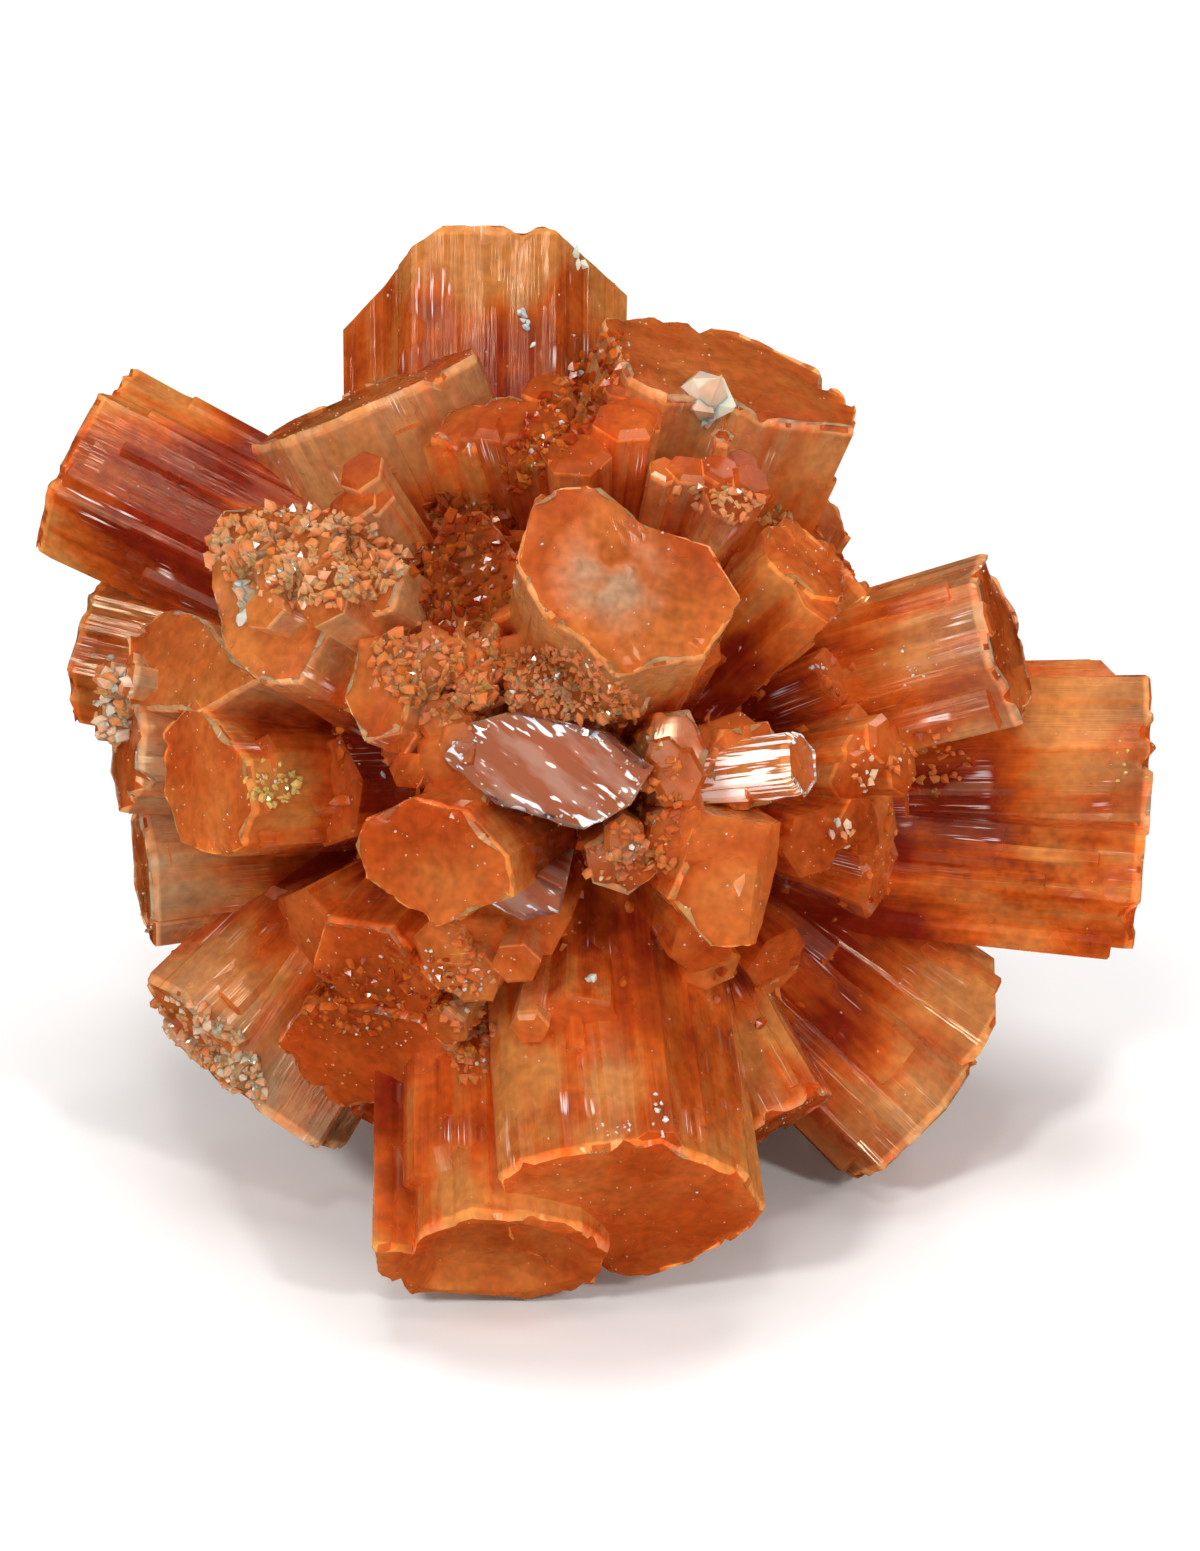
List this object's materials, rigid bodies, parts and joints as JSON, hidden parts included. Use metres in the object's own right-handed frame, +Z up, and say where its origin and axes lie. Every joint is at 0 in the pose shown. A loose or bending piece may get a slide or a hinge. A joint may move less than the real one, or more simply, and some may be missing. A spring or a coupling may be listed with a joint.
{
  "type": "aragonite sputnik cluster",
  "caption": "Aragonite sputnik cluster: translucent orange-brown blunt prisms grown outwards from one centre, resting on a flat crystal end.",
  "frame": {"origin": "middle of the flat crystal end that the cluster rests on, at the surface", "axes": "+Z up from the surface, +X towards the longest crystals on the right, -Y towards the displayed side"},
  "size_m": [0.0497, 0.043, 0.0389],
  "materials": {
    "aragonite": "satin"
  },
  "bodies": {
    "root": {"crystal_cluster": "aragonite"}
  },
  "joints": []
}
